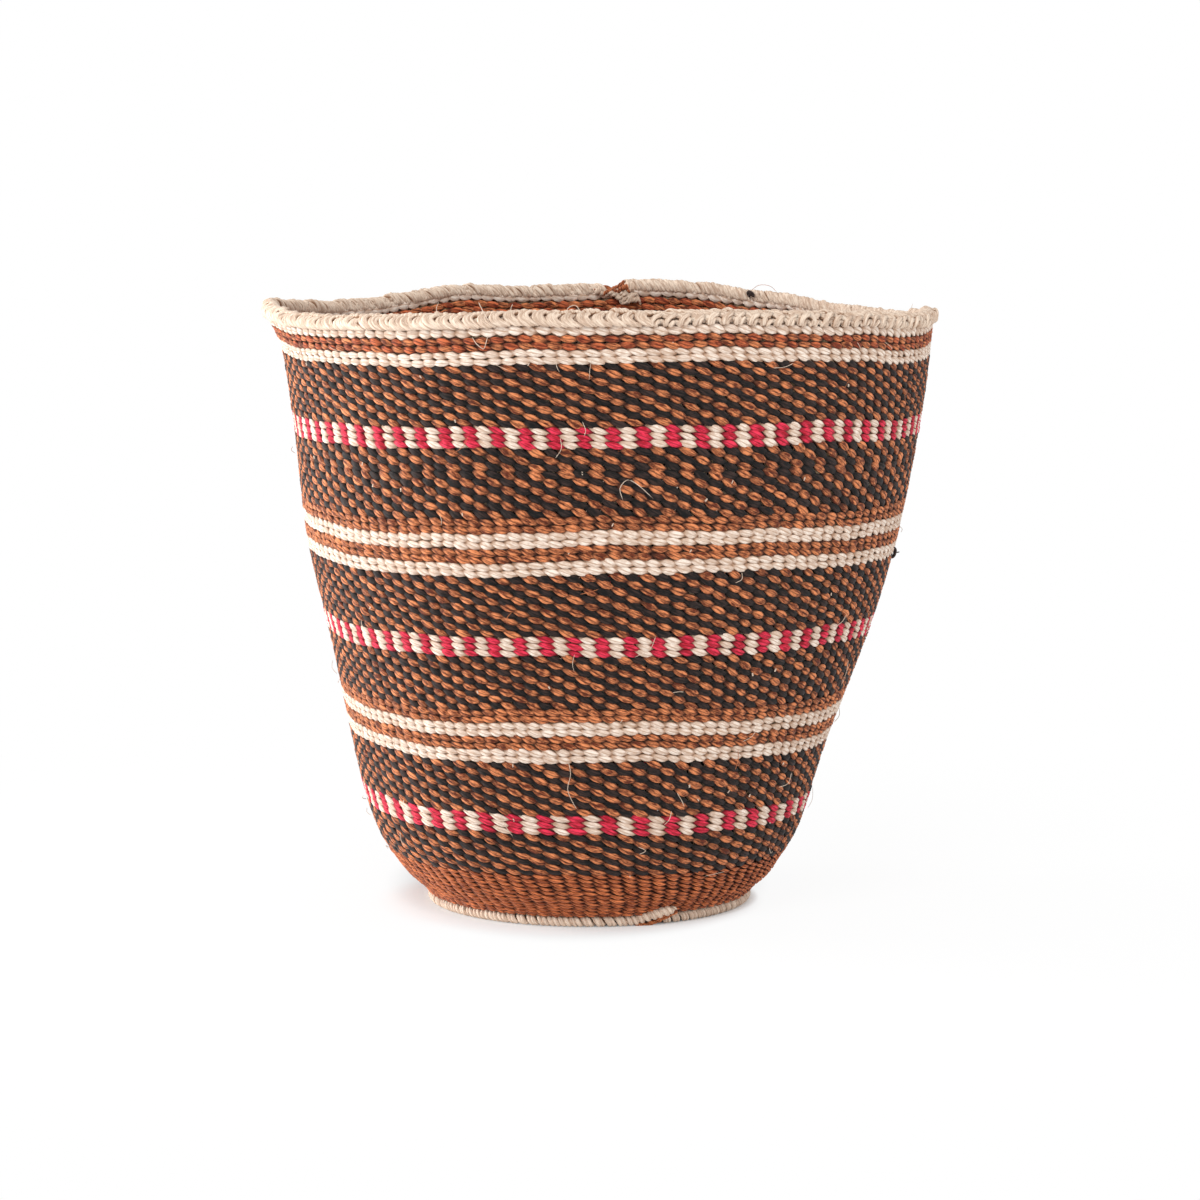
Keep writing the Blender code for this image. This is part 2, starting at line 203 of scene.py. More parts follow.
def yarns(around, stations, copies):
    """Closed spindles of yarn, copies of one. Returns their mesh, and for the points of one spindle
    the share of its length and the angle round it."""
    shape = bmesh.new()
    bmesh.ops.create_uvsphere(shape, u_segments=around, v_segments=stations, radius=1)
    mesh = bpy.data.meshes.new("yarn")
    shape.to_mesh(mesh)
    shape.free()
    points = np.array([vertex.co for vertex in mesh.vertices])
    share = 1 - np.arccos(np.clip(points[:, 2], -1, 1)) / math.pi
    angle = np.arctan2(points[:, 1], points[:, 0])
    spindle = bpy.data.objects.new("yarn", mesh)
    bpy.context.scene.collection.objects.link(spindle)
    array = spindle.modifiers.new("Copies", "ARRAY")
    array.count = copies
    array.use_relative_offset = False
    array.use_constant_offset = True
    array.constant_offset_displace = (2, 0, 0)
    bpy.context.view_layer.update()
    mesh = bpy.data.meshes.new_from_object(spindle.evaluated_get(bpy.context.evaluated_depsgraph_get()))
    bpy.data.objects.remove(spindle)
    return mesh, share, angle


def in_ply(length, angle, depth):
    """Where points lie in a ply by itself, which has no painted shade line between two plies."""
    return np.stack(np.broadcast_arrays(length, SINGLE_PLY + SINGLE_PLY_GRAIN * angle, depth), -1)


def put(mesh, places, lay, mark):
    """Moves the points of a mesh of yarns to their places, and stores what the yarn's material reads:
    where each point lies in its own yarn, how deep it counts for painted shade, and its yarn's dye, tone and
    seed."""
    mesh.vertices.foreach_set("co", np.ascontiguousarray(places, np.float32).ravel())
    for name, values in (("lay", lay), ("mark", mark)):
        values = np.broadcast_to(values, places.shape)
        layer = mesh.attributes.new(name, "FLOAT_VECTOR", "POINT")
        layer.data.foreach_set("vector", np.ascontiguousarray(values, np.float32).ravel())
    mesh.update()
    return mesh


def joined(name, meshes):
    """One piece of several meshes, shaded smooth."""
    shape = bmesh.new()
    for mesh in meshes:
        shape.from_mesh(mesh)
        bpy.data.meshes.remove(mesh)
    whole = bpy.data.meshes.new(name)
    shape.to_mesh(whole)
    shape.free()
    whole.shade_smooth()
    piece = bpy.data.objects.new(name, whole)
    bpy.context.scene.collection.objects.link(piece)
    return piece


class Socket:
    """An output of a node. Python's operators on it add the Math nodes that work them out."""

    def __init__(self, finish, output):
        self.finish = finish
        self.output = output

    def of(self, name):
        """Another output of the same node."""
        return Socket(self.finish, self.output.node.outputs[name])

    def math(self, operation, first, second):
        return self.finish.node("ShaderNodeMath", {"operation": operation}, {0: first, 1: second})

    def __add__(self, other):
        return self.math("ADD", self, other)

    def __radd__(self, other):
        return self.math("ADD", other, self)

    def __sub__(self, other):
        return self.math("SUBTRACT", self, other)

    def __rsub__(self, other):
        return self.math("SUBTRACT", other, self)

    def __mul__(self, other):
        return self.math("MULTIPLY", self, other)

    def __rmul__(self, other):
        return self.math("MULTIPLY", other, self)

    def __abs__(self):
        return self.math("ABSOLUTE", self, 0.0)


class Finish:
    """The nodes of a material or of the world, added one at a time."""

    def __init__(self, owner, shader="Principled BSDF"):
        owner.use_nodes = True
        self.material = owner
        self.tree = owner.node_tree
        self.shader = self.tree.nodes[shader]

    def feed(self, socket, value):
        if isinstance(value, Socket):
            self.tree.links.new(value.output, socket)
        else:
            socket.default_value = value

    def node(self, kind, settings, sockets, output=0):
        made = self.tree.nodes.new(kind)
        for name, value in settings.items():
            setattr(made, name, value)
        for name, value in sockets.items():
            self.feed(made.inputs[name], value)
        return Socket(self, made.outputs[output])

    def mix(self, factor, first, second):
        return self.node("ShaderNodeMix", {"data_type": "RGBA"}, {0: factor, 6: first, 7: second}, 2)

    def ramp(self, value, start, end, first, last, course="SMOOTHSTEP"):
        return self.node("ShaderNodeMapRange", {"interpolation_type": course},
                         {0: value, 1: start, 2: end, 3: first, 4: last})


def colour(red, green, blue):
    """A colour as it is picked on a screen, as the linear values of a shader."""
    return (*[((level / 255 + 0.055) / 1.055) ** 2.4 for level in (red, green, blue)], 1)


# How fine the fibres and the wider patches of a yarn are along it and across, how strong they show, and
# how light the yarn is between its dark and its light colour
FIBRE_GRAIN = (260, 1150, 1150)
FIBRE_STRENGTH = 4.6
PATCH_GRAIN = (250, 500, 500)
PATCH_STRENGTH = 0.5
LIGHTNESS = 0.50
SEED_STEPS = (37.0, 91.0, 53.0)
# Where the painted shade of a yarn starts and ends below its face and beside the line between its plies,
# and how much of the painted shade colour it takes
PAINTED_SHADE_TOP = -0.00042
PAINTED_SHADE_FOOT = -0.00115
PAINTED_SHADE_SHARE = 0.92
PLY_LINE = 0.00006
PLY_LINE_END = 0.00032
PLY_LINE_PAINTED_SHADE = 0.68
FIBRE_RELIEF = 0.00035


def sisal(name, first, second):
    """Two-ply sisal yarn. Each yarn has a dark and a light colour of its fibres and a painted shade colour
    for its creases; the second yarn of a pair goes where the dye is 1."""
    finish = Finish(bpy.data.materials.new(name))
    lay = finish.node("ShaderNodeAttribute", {"attribute_name": "lay"}, {}, "Vector")
    mark = finish.node("ShaderNodeAttribute", {"attribute_name": "mark"}, {}, "Vector")
    parts = finish.node("ShaderNodeSeparateXYZ", {}, {0: mark})
    dye, tone, seed = parts, parts.of("Y"), parts.of("Z")
    apart = finish.node("ShaderNodeCombineXYZ", {}, {axis: seed * SEED_STEPS[axis] for axis in range(3)})
    place = finish.node("ShaderNodeVectorMath", {"operation": "MULTIPLY_ADD"},
                        {0: lay, 1: FIBRE_GRAIN, 2: apart})
    fibres = finish.node("ShaderNodeTexNoise", {}, {"Vector": place, "Scale": 1.0, "Detail": 3.0,
                                                    "Roughness": 0.65})
    wide = finish.node("ShaderNodeVectorMath", {"operation": "MULTIPLY_ADD"},
                       {0: lay, 1: PATCH_GRAIN, 2: apart})
    patches = finish.node("ShaderNodeTexNoise", {}, {"Vector": wide, "Scale": 1.0, "Detail": 1.0})
    mixed = (fibres - 0.5) * FIBRE_STRENGTH + (patches - 0.5) * PATCH_STRENGTH + tone + LIGHTNESS
    mixed = finish.node("ShaderNodeClamp", {}, {0: mixed})
    dark = finish.mix(dye, colour(*first[0]), colour(*second[0]))
    light = finish.mix(dye, colour(*first[1]), colour(*second[1]))
    # The colour of painted shade, for the creases of each yarn
    painted_shade_colour = finish.mix(dye, colour(*first[2]), colour(*second[2]))
    lay = finish.node("ShaderNodeSeparateXYZ", {}, {0: lay})
    # Painted shade: the deeper a point lies below its yarn's face, the more of the shade colour it takes
    painted_shade = finish.ramp(lay.of("Z"), PAINTED_SHADE_TOP, PAINTED_SHADE_FOOT, 0.0, PAINTED_SHADE_SHARE)
    # Painted shade along the line between two plies, where one ply lies against the other
    between = finish.ramp(abs(lay.of("Y")), PLY_LINE, PLY_LINE_END, PLY_LINE_PAINTED_SHADE, 0.0)
    painted_shade = finish.node("ShaderNodeMath", {"operation": "MAXIMUM"}, {0: painted_shade, 1: between})
    finish.feed(finish.shader.inputs["Base Color"],
                finish.mix(painted_shade, finish.mix(mixed, dark, light), painted_shade_colour))
    finish.feed(finish.shader.inputs["Roughness"], 0.92 - 0.22 * fibres)
    finish.shader.inputs["Specular IOR Level"].default_value = 0.3
    finish.shader.inputs["Sheen Weight"].default_value = 0.06
    finish.shader.inputs["Sheen Roughness"].default_value = 0.5
    bump = finish.node("ShaderNodeBump", {}, {"Strength": 0.8, "Distance": FIBRE_RELIEF, "Height": fibres})
    finish.feed(finish.shader.inputs["Normal"], bump)
    return finish.material


def dress(piece, material, slot, *nodes):
    """Gives a piece its material, puts it under the root body and hides the CAD nodes that it stands for; the
    slot is not used.
    """
    piece.data.materials.clear()
    piece.data.materials.append(material)
    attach(piece, "root")
    if nodes:
        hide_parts(*nodes)


# The rows of each weft from the foot up: name, finish, rows of the CAD ring, and rows of stitches
BANDS = (
    ("foot_brown_weft", "brown", 8, 12),
    ("lower_tweed_weft_a", "tweed", 7, 7),
    ("lower_pink_check_weft", "pink_check", 3, 3),
    ("lower_tweed_weft_b", "tweed", 8, 8),
    ("lower_cream_stripe_weft_a", "cream", 2, 2),
    ("lower_brown_stripe_weft_a", "brown", 2, 2),
    ("lower_cream_stripe_weft_b", "cream", 2, 2),
    ("lower_brown_stripe_weft_b", "brown", 2, 2),
    ("middle_tweed_weft_a", "tweed", 8, 8),
    ("middle_pink_check_weft", "pink_check", 3, 3),
    ("middle_tweed_weft_b", "tweed", 9, 9),
    ("upper_cream_stripe_weft_a", "cream", 2, 2),
    ("upper_brown_stripe_weft_a", "brown", 2, 2),
    ("upper_cream_stripe_weft_b", "cream", 2, 2),
    ("upper_brown_stripe_weft_b", "brown", 2, 2),
    ("upper_tweed_weft_a", "tweed", 9, 9),
    ("upper_pink_check_weft", "pink_check", 3, 3),
    ("upper_tweed_weft_b", "tweed", 9, 9),
    ("mouth_cream_weft_a", "cream", 2, 2),
    ("mouth_rust_weft", "rust", 2, 2),
    ("mouth_cream_weft_b", "cream", 1, 1),
)
row_pitch = wall_length / sum(rows for _, _, rows, _ in BANDS)

# Each yarn's colours: the dark and the light of its fibres, then the painted shade colour of its creases
foot_yarn = ((124, 54, 25), (230, 132, 78), (50, 16, 6))
warp_sisal = sisal("warp_sisal", ((190, 165, 130), (228, 212, 186), (120, 90, 60)), foot_yarn)


def warp_run(start, end, count, dye):
    """Warps from one length of the fabric to another, in the middle of its depth."""
    mesh, share, angle = yarns(4, 5, count)
    swell = np.clip(share * WARP_TAPER, 0, 1) * np.clip((1 - share) * WARP_TAPER, 0, 1)
    swell = np.sin(swell * math.pi / 2)
    length = start + (end - start) * share
    around = (warp_turn(np.arange(count)[:, None], count, length)
              - np.sin(angle) * swell * WARP_WIDTH / 2 / np.maximum(radius_at(length), 0.003))
    places = fabric(around, length, FABRIC / 2 - np.cos(angle) * swell * WARP_DEPTH / 2)
    # The warps are painted part way into shade, as if in shadow between and behind the stitches
    return put(mesh, places, in_ply(length, np.sin(angle), WARP_PAINTED_SHADE), (dye, -0.3, 0.3))


warp_meshes = [warp_run(start, start + BASE_WARP_LENGTH, count, 1) for start, count in BASE_WARPS]
climbed = 0.0
for name, _, rows, _ in BANDS:
    end = climbed + rows * row_pitch
    warp_meshes.append(warp_run(climbed - WARP_OVERLAP, end + WARP_OVERLAP,
                                columns_at((climbed + end) / 2), name == "foot_brown_weft"))
    climbed = end
warps = joined("warps", warp_meshes)
dress(warps, warp_sisal, "warp_sisal", *[f"warps_{group + 1:02d}" for group in range(WARP_GROUPS)])

# The base
# A disc of brown two-ply sisal, twined in rings from the middle out, round warps that radiate. The
# rings run on round the corner into the first row of the wall.
STITCH_REACH = 1.92
STITCH_HEIGHT = 0.0030
STITCH_DEPTH = 0.0022
STITCH_DIVE = 0.0012
STITCH_TAPER = 1.22
PLY_GROOVE = 0.4
PLY_TWIST = 0.5
CREST = 0.0008
INNER_RISE = 0.0013
INNER_RISE_SHARE = 0.8
CORNER_REACH = 0.0044
STITCH_SLANT = 14.0
# How many sides and stations a stitch has on the outer face of the wall, and elsewhere
STITCH_MESH = (8, 7)
PLAINER_MESH = (6, 5)
# How much the stitches differ, as they are made by hand: in slant, size, tone and place
SLANT_SPREAD = 3
SIZE_SPREAD = 0.06
TONE_SPREAD = 0.10
ALONG_SPREAD = 0.00012
ROW_SPREAD = 0.0002
UP_SPREAD = 0.00010
OUT_SPREAD = 0.00008
# How dark the painted shade of the inner face's creases is, and how much of a diving stitch's dive is left
# out of its painted shade
INNER_PAINTED_SHADE = 0.6
DIVE_PAINTED_SHADE_EASE = 0.4
random = np.random.default_rng(5)


def stitches(start, row, rows, columns, dyes, inner, slant=STITCH_SLANT, squeeze=1.0, groove=PLY_GROOVE):
    """Rows of twined stitches on one face of the fabric. Each stitch comes out from under the one
    before it, passes over a warp and goes under the one after it."""
    plainer = inner or start < -CORNER_REACH
    mesh, share, angle = yarns(*(PLAINER_MESH if plainer else STITCH_MESH), rows * columns)
    way = 2 * share - 1
    thick = 1 - np.abs(way) ** STITCH_TAPER
    thick *= 1 - groove * np.maximum(-np.cos(2 * angle), 0) ** 2 * (1 - way ** 4)
    ply = np.cos(angle) * STITCH_HEIGHT / 2
    angle = angle + PLY_TWIST * way
    shape = (rows, columns, 1)
    tilt = np.radians(slant + SLANT_SPREAD * random.standard_normal(shape))
    grow = 1 + SIZE_SPREAD * random.standard_normal((2, *shape))
    pitch = 2 * math.pi * max(float(radius_at(start + rows * row / 2)), 0.004) / columns
    u = along = way * STITCH_REACH * pitch / 2 * grow[0]
    v = np.cos(angle) * thick * STITCH_HEIGHT / 2 * grow[1] * squeeze
    w = np.sin(angle) * thick * STITCH_DEPTH / 2 - STITCH_DIVE * way ** 2
    u, v = u * np.cos(tilt) + v * np.sin(tilt), v * np.cos(tilt) - u * np.sin(tilt)
    w = w + OUT_SPREAD * random.standard_normal(shape)
    v = v + UP_SPREAD * random.standard_normal(shape)
    u = u + ALONG_SPREAD * random.standard_normal(shape) + ROW_SPREAD * random.standard_normal((rows, 1, 1))
    length = start + (np.arange(rows)[:, None, None] + 0.5) * row + v
    depth = CREST - w
    flip = 1
    if inner:
        depth, flip = FABRIC - depth, -1
        length = length + INNER_RISE * past(length / wall_length, INNER_RISE_SHARE)
    column = np.arange(columns)[None, :, None]
    turn = warp_turn(column, columns, length) + flip * u / np.maximum(radius_at(length), 0.002)
    places = fabric(turn, length, depth)
    # Painted shade: darker below the stitch's crest and towards the ends that dive under the next stitch
    painted_shade = w - STITCH_DEPTH / 2 + DIVE_PAINTED_SHADE_EASE * STITCH_DIVE * way ** 2
    if inner:
        painted_shade = INNER_PAINTED_SHADE * painted_shade
    lay = np.stack(np.broadcast_arrays(along, ply, painted_shade), -1)
    mark = np.zeros(places.shape)
    twined = dyes.min() != dyes.max()
    mark[..., 0] = (dyes != (inner and twined))[..., None]
    mark[..., 1] = TONE_SPREAD * random.standard_normal(shape)
    mark[..., 2] = random.random(shape)
    return put(mesh, places, lay, mark)


brown_yarn = ((96, 39, 17), (228, 140, 89), (40, 14, 6))
brown_sisal = sisal("brown_sisal", brown_yarn, foot_yarn)
base_length = -run[0] - CORNER_REACH
base_rows = round(base_length / row_pitch)
base_meshes = []
for ring in range(1, base_rows):
    start = run[0] + ring * base_length / base_rows
    count = columns_at(start + row_pitch / 2)
    for inner in (False, True):
        base_meshes.append(stitches(start, base_length / base_rows, 1, count, np.ones((1, count)), inner))
base = joined("base", base_meshes)
dress(base, brown_sisal, "brown_sisal", "base_disc")

# The wefts
# Each coloured stripe is a pair of two-ply sisal yarns, dyed before they are spun. The two are twined
# round every warp in turn, so that the one in front changes from stitch to stitch.
# Each yarn's colours: the dark and the light of its fibres, then the painted shade colour of its creases
cream_yarn = ((208, 182, 162), (244, 229, 215), (172, 134, 106))
rim_yarn = ((194, 166, 144), (235, 215, 195), (150, 110, 80))
black_yarn = ((3, 2, 2), (56, 39, 34), (2, 1, 1))
pink_yarn = ((164, 10, 34), (240, 54, 86), (96, 4, 16))
rust_yarn = ((110, 40, 19), (210, 110, 66), (48, 16, 7))
finishes = {
    "brown": brown_sisal,
    "tweed": sisal("tweed_sisal", brown_yarn, black_yarn),
    "pink_check": sisal("pink_check_sisal", cream_yarn, pink_yarn),
    "cream": sisal("cream_sisal", cream_yarn, rim_yarn),
    "rust": sisal("rust_sisal", brown_yarn, rust_yarn),
}
SLANTS = {"brown": 15, "tweed": 21, "pink_check": 16, "cream": 12, "rust": 9}
CREAM_FULLNESS = 1.08
BROWN_FULLNESS = 1.08
FOOT_SLANT = 16
BRAID_REACH = 0.0006
INNER_TALL = 1.3
FOOT_GROOVE = 0.3
FOOT_SLIM = 0.80
MOUTH_SLANT = 6
MOUTH_SLANT_CHANGE = 10
# The row of the upper tweed at which its two yarns change places, and where they do one row earlier
SLIP_ROW = 7
SLIP_DEGREES = (-111.0, -31.0)
SLIP_REACH = 27
climbed = 0.0
for name, finish, rows, rounds in BANDS:
    reach = rows * row_pitch
    count = columns_at(climbed + reach / 2)
    row, column = np.indices((rounds, count))
    if finish in ("tweed", "rust"):
        dyes = (row + column) % 2
    elif finish == "pink_check":
        dyes = column % 2
    else:
        dyes = np.full((rounds, count), name == "foot_brown_weft")
    if name == "upper_tweed_weft_a":
        early = sum(near(column * 360 / count, degrees, SLIP_REACH) for degrees in SLIP_DEGREES) > 0
        dyes = (dyes + (row >= np.where(early, SLIP_ROW - 1, SLIP_ROW))) % 2
    slant, start, high = SLANTS[finish], climbed, reach
    if name.startswith("mouth_cream"):
        turned = np.cos(np.arange(count) * 2 * math.pi / count)[:, None]
        slant = MOUTH_SLANT + MOUTH_SLANT_CHANGE * turned
    if name == "mouth_cream_weft_b":
        high = high + BRAID_REACH
    tall = high / rounds / row_pitch * (CREAM_FULLNESS if finish == "cream" else 1)
    if finish == "tweed":
        tall = tall * np.where(dyes == 0, BROWN_FULLNESS, 1.0)[..., None]
    form = (slant, tall)
    if name == "foot_brown_weft":
        start, high = start - CORNER_REACH, high + CORNER_REACH
        form = (FOOT_SLANT, FOOT_SLIM * high / rounds / row_pitch, FOOT_GROOVE)
    faces = [stitches(start, high / rounds, rounds, count, dyes, False, *form)]
    if name == "mouth_cream_weft_b":
        high, form = high * INNER_TALL, (slant, INNER_TALL * tall)
    faces.append(stitches(start, high / rounds, rounds, count, dyes, True, *form))
    weft = joined(name + "_stitches", faces)
    dress(weft, finishes[finish], finish + "_sisal", name)
    climbed += reach

# The foot cord
# A cord wound with two cream plies and sewn on under the corner. The basket stands on it, so it is worn
# flat underneath. Its left end climbs over the edge of the brown fabric and its right end starts below it.
CORD_DIAMETER = 0.0042
CORD_RADIUS = 0.0595
CORD_FLAT = 0.0004
CORD_PLY = 0.00092
CORD_SEAT = 0.0004
CORD_LAY = 0.0040
CORD_PHASES = (0.0, 2.6)
CORD_STATIONS = 12
CORD_PAINTED_SHADE = 0.55
CORD_CORE_RADIUS = 0.0014
CORD_START_DEGREES = -66.0
CORD_END_DEGREES = -60.0
END_RISE = 0.0040
END_OUT = 0.0052
END_LENGTH = 0.0170


def along_path(path, share, angle, radius):
    """Points round a path that is given by a function of the share of its length."""
    step = 0.5 / share.size
    centre = path(share)
    ahead = path(np.minimum(share + step, 1)) - path(np.maximum(share - step, 0))
    ahead /= np.maximum(np.linalg.norm(ahead, axis=-1, keepdims=True), 1e-9)
    first = np.array([1.0, 0.0, 0.0]) - ahead * ahead[..., :1]
    first /= np.maximum(np.linalg.norm(first, axis=-1, keepdims=True), 1e-9)
    second = np.cross(ahead, first)
    spoke = first * np.cos(angle)[..., None] + second * np.sin(angle)[..., None]
    return centre + spoke * radius[..., None]


def tapered(share, length, radius):
    """The shares of a yarn's radius along it, with round ends."""
    return np.sqrt(np.clip(np.minimum(share, 1 - share) * length / radius, 0, 1))


def foot_place(turn, up, out):
    """A point beside the middle of the foot cord, at a turn about the foot."""
    radius = CORD_RADIUS + CORD_SEAT + out
    return np.stack([radius * np.cos(turn) + LEAN * LEAN_SHARES[0][1] + aside.x,
                     radius * np.sin(turn) + aside.y,
                     np.maximum(CORD_DIAMETER / 2 - CORD_FLAT + CORD_SEAT + up, 0)], -1)


def wound(length, offset, radius, lays, phase, stations, middle, dye=1.0):
    """A yarn wound round a middle line: a function of the share that gives turn, up and out."""
    mesh, share, angle = yarns(8, stations, 1)
    slim = offset * tapered(share, length, CORD_DIAMETER)

    def path(share):
        # It is laid by hand, so its turns are a little uneven
        uneven = 0.5 * np.sin(31 * share) + 0.3 * np.sin(83 * share + phase)
        winding = 2 * math.pi * lays * share + phase + uneven
        turn, up, out = middle(share)
        return np.stack([turn * CORD_RADIUS, up + slim * np.cos(winding), out + slim * np.sin(winding)], -1)

    local = along_path(path, share, angle, radius * tapered(share, length, 3 * radius))
    centre = np.stack([local[..., 0], *middle(share)[1:]], -1)
    # Painted shade: a ply's points are darker the nearer they lie to the cord's middle
    painted_shade = CORD_PAINTED_SHADE * (np.linalg.norm((local - centre)[..., 1:], axis=-1) - offset - radius)
    places = foot_place(local[..., 0] / CORD_RADIUS, local[..., 1], local[..., 2])
    return put(mesh, places[None], in_ply(share * length, angle, painted_shade), (dye, 0.1, 0.2 + 0.1 * phase))


def cord_middle(share):
    """The cord's middle line. The end that comes round from the left climbs out over the other."""
    start, end = math.radians(CORD_START_DEGREES), math.radians(CORD_END_DEGREES) + 2 * math.pi
    climb = np.clip(1 - (1 - share) * cord_length / END_LENGTH, 0, 1)
    climb = climb ** 2 * (3 - 2 * climb)
    return start + (end - start) * share, END_RISE * climb, END_OUT * climb


cord_length = CORD_RADIUS * (2 * math.pi + math.radians(CORD_END_DEGREES - CORD_START_DEGREES))
cord_lays = round(cord_length / CORD_LAY)
cord_offset = CORD_DIAMETER / 2 - CORD_PLY
cord_meshes = [wound(cord_length, cord_offset, CORD_PLY, cord_lays, phase, cord_lays * CORD_STATIONS,
                     cord_middle) for phase in CORD_PHASES]
cord_meshes.append(wound(cord_length, 0.0, CORD_CORE_RADIUS, 0, 0.0, 200, cord_middle))
foot_cord = joined("foot_cord_plies", cord_meshes)
dress(foot_cord, finishes["cream"], "cream_sisal", "foot_cord")

# The splice of the foot cord
# Brown two-ply yarn drawn up slantwise between the cord's two ends, from under the left one.
# Its run: the share of its length, degrees about the basket, then millimetres up and out from the middle
# of the cord. The second of its two yarns ends a little further to the right and lower.
SPLICE_RUN = ((0.0, -74.0, -1.8, 0.2), (0.35, -69.0, -1.4, 1.0), (0.6, -65.5, 0.3, 2.1),
              (0.8, -63.0, 2.1, 3.3), (1.0, -60.5, 3.5, 4.5))
SPLICE_LENGTH = 0.0150
SPLICE_STEPS = (0.0, 1.3)
SPLICE_DROP = 0.7
SPLICE_PLY = 0.00046
SPLICE_OFFSET = 0.00034
SPLICE_LAYS = 2.5


def splice_middle(step):
    """The middle line of one yarn of the splice, which ends a step of degrees further on."""
    def middle(share):
        degrees, up, out = (through([(row[0], row[axis]) for row in SPLICE_RUN], share)
                            for axis in (1, 2, 3))
        up = up - SPLICE_DROP * step * share
        return np.radians(degrees + step * share), 0.001 * up, 0.001 * out
    return middle


splice = joined("foot_splice_yarns", [
    wound(SPLICE_LENGTH, SPLICE_OFFSET, SPLICE_PLY, SPLICE_LAYS, phase, 30, splice_middle(step), 0.0)
    for step in SPLICE_STEPS for phase in (0.0, math.pi)])
dress(splice, brown_sisal, "brown_sisal", "foot_cord_splice")

# The rim braid
# The warp ends, one to three plies each, folded over the last row and each tucked under the next, round a
# core of cut ends. At the left they lie close, like scales; at the right they stand as arches round a
# small hole.
RIM_KNOT_LENGTH = 0.0120
RIM_KNOT_DEGREES = 88.0
CORE_RADIUS = 0.0018
CORE_RISE = 0.0022
BRAID_DEPTH = 0.0026
LEFT_FLARE = 0.0008
FLARE_RISE = 1.4
FLARE_OUT = 0.5
LEFT_DEGREES = 182.0
LEFT_REACH = 9.0
RIGHT_DIP = 0.0011
RIGHT_REACH = 24.0
ARCHED_FROM = 0.12
LOOP_WANDER = (0.30, 0.34, 0.30)
PLY_WANDER = (0.22, 0.20, 0.16)
PLY_SIZE_SPREAD = 0.07
PLY_TONE_SPREAD = 0.12
PLY_LENGTH = 0.012
# How strong the painted shade is on the sides of the rim's plies
RIM_SHADE = 1.15
# How deep the braid's core counts for painted shade, which darkens it a little
CORE_PAINTED_SHADE = -0.0005
# Loops of the plies: the share of the length, then millimetres along the rim, up from the last row and
# out from the fabric's face. Each is followed by how far along and out each of its plies lies, and their
# radius.
INSIDE_LOOP = (((0.0, -2.4, 1.0, -3.3), (0.2, -1.6, 1.9, -3.8), (0.45, -0.3, 3.4, -3.9),
                (0.7, 1.2, 4.5, -3.2), (1.0, 2.8, 4.5, -1.7)), ((-1.7, 0.0), (0.0, 0.1), (1.7, 0.0)), 1.16)
CLOSE_LOOP = (((0.0, 1.4, 2.5, -3.7), (0.15, 0.8, 3.7, -3.4), (0.32, -0.5, 4.3, -2.6),
               (0.48, -1.7, 4.0, -1.0), (0.6, -1.8, 3.2, -0.2), (0.78, -0.4, 2.0, 0.2),
               (0.92, 1.8, 1.1, 0.0), (1.0, 3.0, 0.5, -0.9)),
              ((-1.22, 0.25), (0.0, 0.10), (1.22, -0.10)), 0.94)
ARCH_LOOP = (((0.0, 3.0, 0.6, -1.4), (0.14, 3.1, 1.9, -0.5), (0.3, 2.2, 3.4, -0.2), (0.46, 0.2, 4.1, -0.2),
             (0.62, -1.9, 3.7, 0.1), (0.8, -3.1, 2.3, 0.3), (0.9, -3.1, 1.4, 0.1), (1.0, -2.5, 0.6, -0.9)),
             ((0.0, 0.0),), 0.94)
SMALL_ARCH_LOOP = (((0.0, 1.6, 0.6, -1.2), (0.2, 1.6, 1.5, -0.3), (0.42, 0.5, 2.5, 0.0),
                    (0.6, -0.8, 2.5, 0.1), (0.8, -1.6, 1.6, 0.2), (1.0, -1.4, 0.5, -0.8)),
                   ((0.0, 0.0),), 0.86)
TOP_LOOP = (((0.0, -1.6, 3.2, -3.9), (0.3, -0.6, 4.0, -3.2), (0.6, 1.2, 4.2, -2.2), (0.85, 3.0, 3.8, -1.0),
            (1.0, 3.8, 3.0, -0.4)), ((-1.26, 0.0), (1.26, 0.0)), 1.00)


def curve(table, share):
    """The place on a table's smooth curve at shares of its length, in metres."""
    values = [through([(row[0], row[axis]) for row in table], share) for axis in (1, 2, 3)]
    return 0.001 * np.stack(values, -1)


def dip_at(turn):
    """How far the rim dips at the right, where it is pressed down."""
    return RIGHT_DIP * near(np.degrees(turn), 0, RIGHT_REACH)


